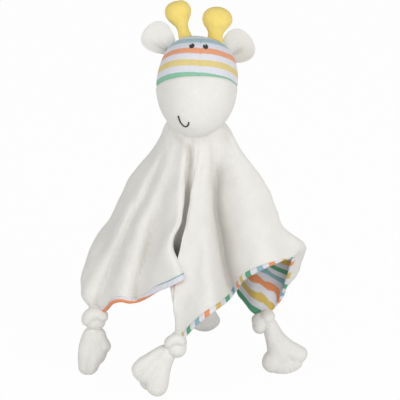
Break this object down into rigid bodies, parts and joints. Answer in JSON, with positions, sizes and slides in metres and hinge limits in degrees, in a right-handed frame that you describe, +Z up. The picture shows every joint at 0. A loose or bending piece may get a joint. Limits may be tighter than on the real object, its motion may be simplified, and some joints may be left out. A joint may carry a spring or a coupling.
{
  "type": "comfort blanket toy",
  "caption": "Soft comforter toy: stuffed giraffe head on the middle of a small square blanket with a striped lining, corners tied in knots with flared ends.",
  "frame": {"origin": "on the floor, under the middle of the whole toy as it stands", "axes": "+Z up, the face looks towards -Y, and the toy's left as seen in the picture is -X"},
  "size_m": [0.2054, 0.1818, 0.3399],
  "materials": {
    "cream_velour": "short-pile velour, matt",
    "striped_jersey": "printed cotton jersey stripes: green, grey-lavender, mustard, orange, blue",
    "binding_jersey": "the striped jersey cut as a hem binding",
    "cap_jersey": "printed cotton jersey stripes: blue, lavender, orange, yellow, green",
    "yellow_jersey": "plain soft jersey, matt",
    "polyester_filling": "loose white fibre",
    "black_thread": "satin stitch embroidery",
    "grey_thread": "line stitch embroidery"
  },
  "bodies": {
    "blanket": {"blanket_outer": "cream_velour", "blanket_lining": "striped_jersey", "hem_binding_left_front": "binding_jersey", "hem_binding_front_right": "binding_jersey", "hem_binding_right_back": "binding_jersey", "hem_binding_back_left": "binding_jersey", "left_knot": "cream_velour", "front_knot": "cream_velour", "right_knot": "cream_velour", "back_knot": "cream_velour"},
    "neck": {"neck_collar": "cream_velour"},
    "head": {"head_stuffing": "polyester_filling", "muzzle_panel": "cream_velour", "cap_left_panel": "cap_jersey", "cap_right_panel": "cap_jersey", "neck_gather": "cream_velour", "left_eye": "black_thread", "right_eye": "black_thread", "smile_stitch": "grey_thread"},
    "left_ear": {"left_ear_front": "cream_velour", "left_ear_back": "cream_velour"},
    "right_ear": {"right_ear_front": "cream_velour", "right_ear_back": "cream_velour"},
    "left_horn": {"left_horn_cover": "yellow_jersey", "left_horn_stuffing": "polyester_filling"},
    "right_horn": {"right_horn_cover": "yellow_jersey", "right_horn_stuffing": "polyester_filling"},
    "left_end": {"left_tail": "cream_velour"},
    "front_end": {"front_tail": "cream_velour"},
    "right_end": {"right_tail": "cream_velour"},
    "back_end": {"back_tail": "cream_velour"}
  },
  "joints": [
    {"name": "neck_turn", "type": "hinge", "parent": "blanket", "child": "neck", "pos_m": [0.004, 0.00042, 0.2403], "axis": [0, -0.6428, 0.766], "range_deg": [-25, 25], "stiffness_Nm_per_rad": 0.2},
    {"name": "head_nod", "type": "hinge", "parent": "neck", "child": "head", "pos_m": [0.004, 0.00042, 0.2403], "axis": [1, 0, 0], "range_deg": [-15, 5], "stiffness_Nm_per_rad": 0.6},
    {"name": "left_ear_flap", "type": "hinge", "parent": "head", "child": "left_ear", "pos_m": [-0.0197, 0.00164, 0.30228], "axis": [0.6057, 0.3755, 0.7015], "range_deg": [-25, 25], "stiffness_Nm_per_rad": 0.02},
    {"name": "right_ear_flap", "type": "hinge", "parent": "head", "child": "right_ear", "pos_m": [0.02844, 0.01194, 0.29179], "axis": [0.5022, -0.3755, -0.779], "range_deg": [-25, 25], "stiffness_Nm_per_rad": 0.02},
    {"name": "left_horn_bend", "type": "hinge", "parent": "head", "child": "left_horn", "pos_m": [-0.00738, 0.00659, 0.3133], "axis": [0.9618, 0.1867, 0.2001], "range_deg": [-25, 25], "stiffness_Nm_per_rad": 0.05},
    {"name": "right_horn_bend", "type": "hinge", "parent": "head", "child": "right_horn", "pos_m": [0.02208, 0.00714, 0.31203], "axis": [0.9932, -0.03, -0.1124], "range_deg": [-25, 25], "stiffness_Nm_per_rad": 0.05},
    {"name": "left_end_swing", "type": "hinge", "parent": "blanket", "child": "left_end", "pos_m": [-0.08774, -0.01977, 0.0529], "axis": [-0.2198, 0.9755, 0], "range_deg": [-20, 30], "stiffness_Nm_per_rad": 0.4},
    {"name": "front_end_swing", "type": "hinge", "parent": "blanket", "child": "front_end", "pos_m": [-0.01351, -0.07904, 0.0437], "axis": [-0.9857, 0.1685, 0], "range_deg": [-20, 30], "stiffness_Nm_per_rad": 0.4},
    {"name": "right_end_swing", "type": "hinge", "parent": "blanket", "child": "right_end", "pos_m": [0.0598, -0.01614, 0.04692], "axis": [-0.2605, -0.9655, 0], "range_deg": [-25, 20], "stiffness_Nm_per_rad": 0.4},
    {"name": "back_end_swing", "type": "hinge", "parent": "blanket", "child": "back_end", "pos_m": [0.0085, 0.07824, 0.046], "axis": [0.9942, -0.108, 0], "range_deg": [-20, 30], "stiffness_Nm_per_rad": 0.4}
  ]
}
